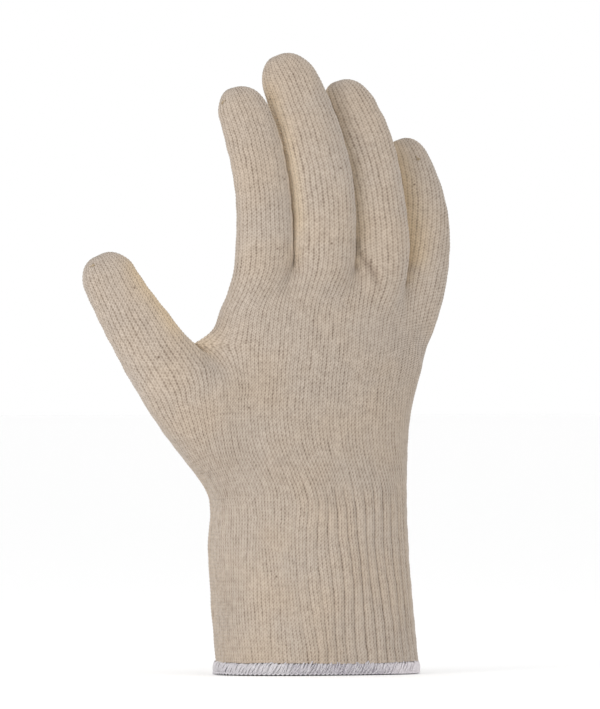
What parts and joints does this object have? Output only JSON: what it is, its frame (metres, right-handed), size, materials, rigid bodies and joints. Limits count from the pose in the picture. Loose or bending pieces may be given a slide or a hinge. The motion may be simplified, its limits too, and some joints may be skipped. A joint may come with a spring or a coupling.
{
  "type": "knit work glove",
  "caption": "Seamless fine knit cotton work glove in worn form, right hand, with a long ribbed wrist and a white overlocked edge.",
  "frame": {"origin": "centre of the wrist opening, at the bottom of the overlocked edge", "axes": "+Z from the wrist to the fingertips, +X towards the little finger, and the back of the hand faces -Y"},
  "size_m": [0.158, 0.0601, 0.2485],
  "materials": {
    "knit": "fine plain knit of undyed cotton yarn, matt and slightly fuzzy",
    "rib_knit": "elastic rib knit of undyed cotton yarn, matt",
    "overlock_thread": "white textured overlock thread in close loops, matt"
  },
  "bodies": {
    "root": {"index_finger": "knit", "middle_finger": "knit", "ring_finger": "knit", "little_finger": "knit", "thumb": "knit", "palm": "knit", "cuff": "rib_knit", "hem_overlock": "overlock_thread"}
  },
  "joints": []
}
